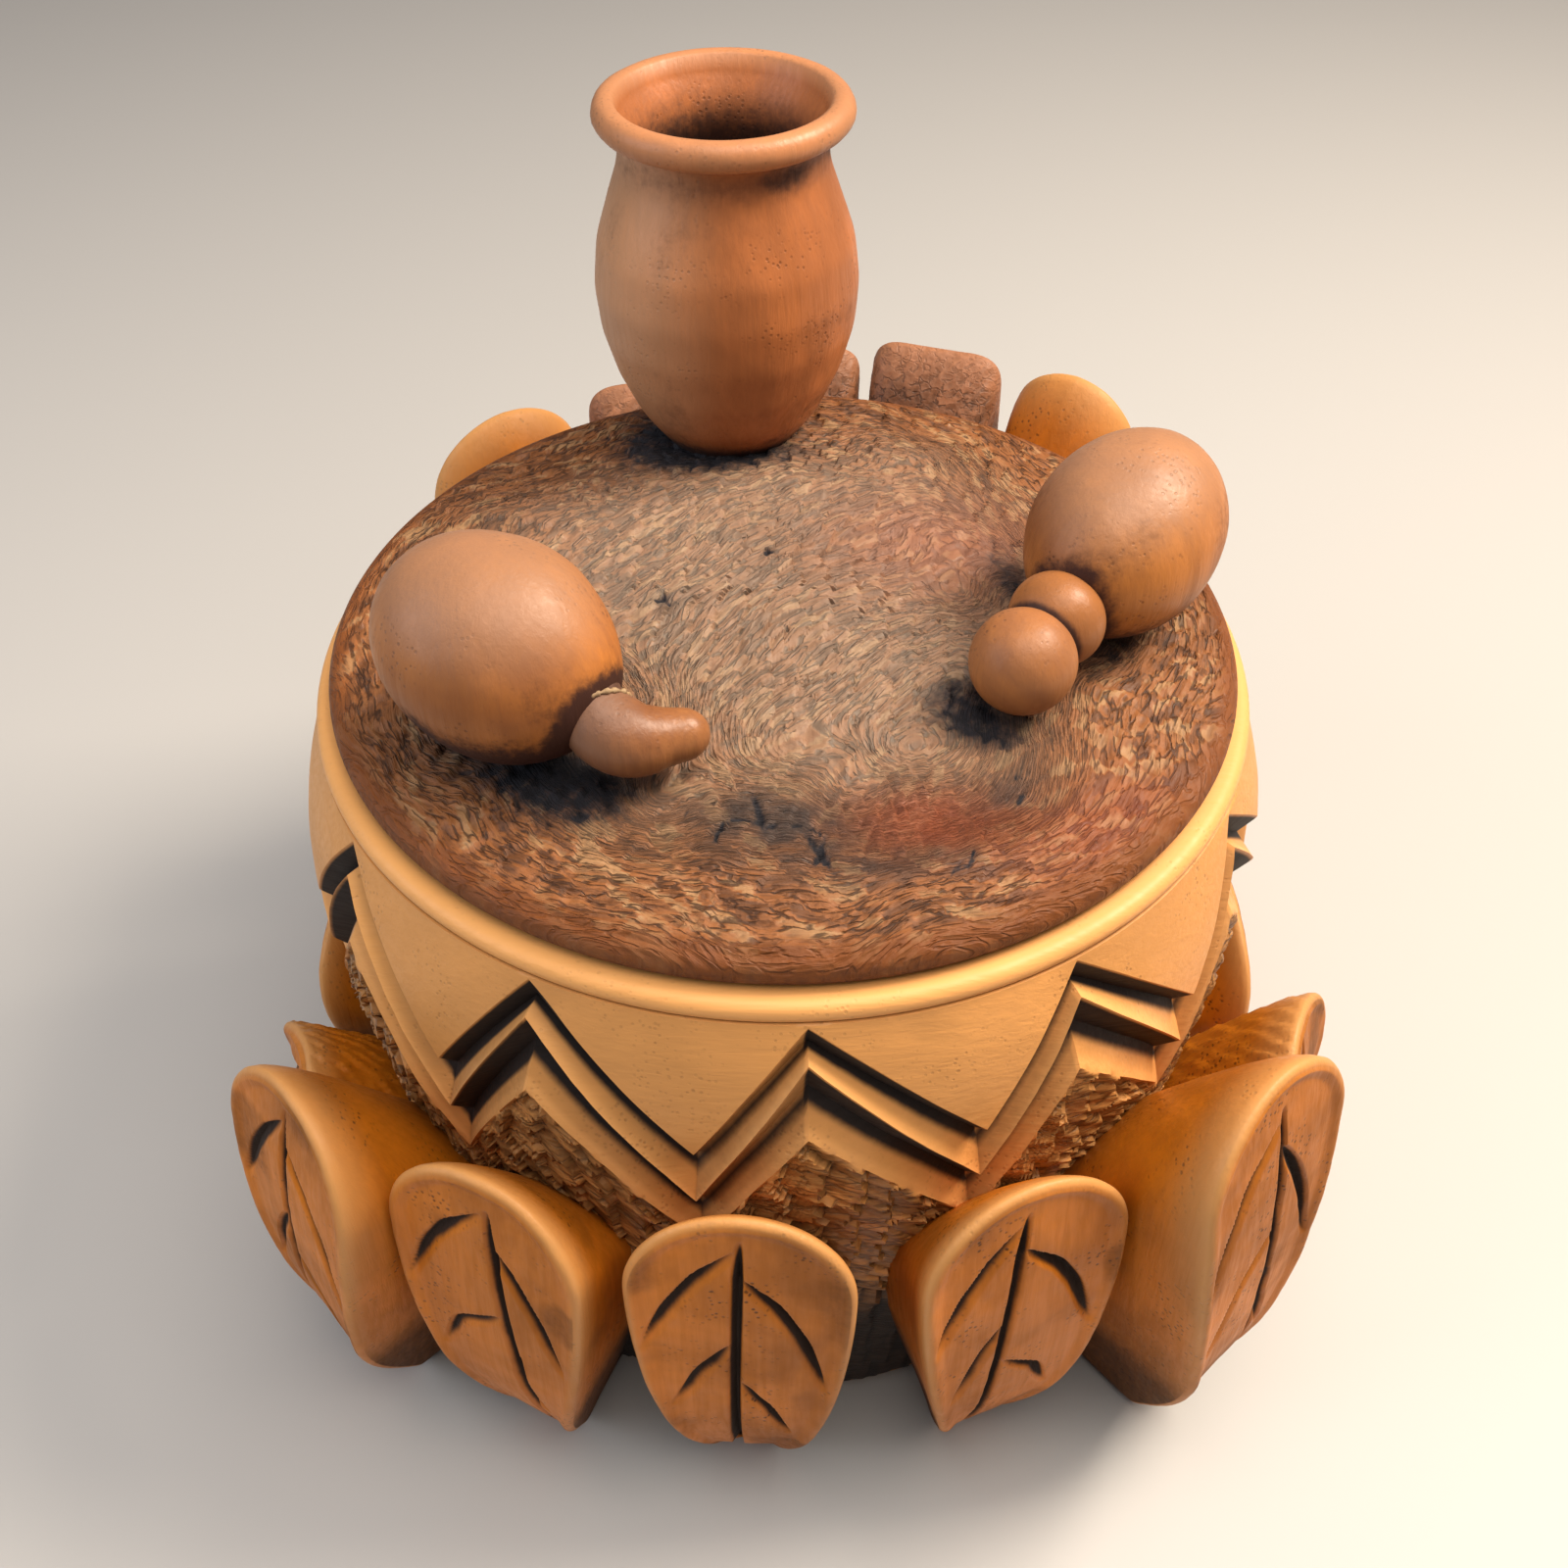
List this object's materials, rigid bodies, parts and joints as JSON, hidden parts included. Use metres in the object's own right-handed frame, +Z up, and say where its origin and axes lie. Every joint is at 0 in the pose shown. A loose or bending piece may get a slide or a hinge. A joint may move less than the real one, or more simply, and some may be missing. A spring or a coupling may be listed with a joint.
{
  "type": "lidded vessel",
  "caption": "Carved wooden round pot in a ring of leaf petals, with a domed lift-off lid that carries a small hollow jar and two gourds.",
  "frame": {"origin": "centre of the flat foot on the table", "axes": "+Z up through the middle of the pot, -Y towards the front, +X to the right seen from the front"},
  "size_m": [0.2779, 0.2902, 0.268],
  "materials": {
    "pot_wood": "satin",
    "lid_wood": "satin",
    "jar_wood": "satin",
    "gourd_wood": "satin",
    "stem_wood": "satin",
    "dowel_wood": "satin",
    "petal_wood": "satin",
    "back_petal_wood": "satin"
  },
  "bodies": {
    "pot": {"pot_body": "pot_wood", "petal_pegs": "dowel_wood", "petal_01": "petal_wood", "petal_02": "petal_wood", "petal_03": "petal_wood", "petal_04": "petal_wood", "petal_05": "petal_wood", "petal_06": "petal_wood", "petal_07": "petal_wood", "petal_08": "back_petal_wood", "petal_09": "back_petal_wood", "petal_10": "back_petal_wood", "petal_11": "petal_wood", "petal_12": "petal_wood", "petal_13": "petal_wood", "petal_14": "petal_wood", "petal_15": "petal_wood", "petal_16": "petal_wood"},
    "lid": {"lid": "lid_wood", "jar": "jar_wood", "jar_dowel": "dowel_wood", "left_gourd": "gourd_wood", "left_gourd_stem": "stem_wood", "left_stem_peg": "dowel_wood", "left_gourd_dowel": "dowel_wood", "right_gourd": "gourd_wood", "right_gourd_bead": "stem_wood", "right_gourd_ball": "gourd_wood", "right_gourd_pin": "dowel_wood", "right_gourd_dowel": "dowel_wood"}
  },
  "joints": [
    {"name": "lid_lift", "type": "slide", "parent": "pot", "child": "lid", "axis": [0, 0, 1], "range_m": [0, 0.06]}
  ]
}
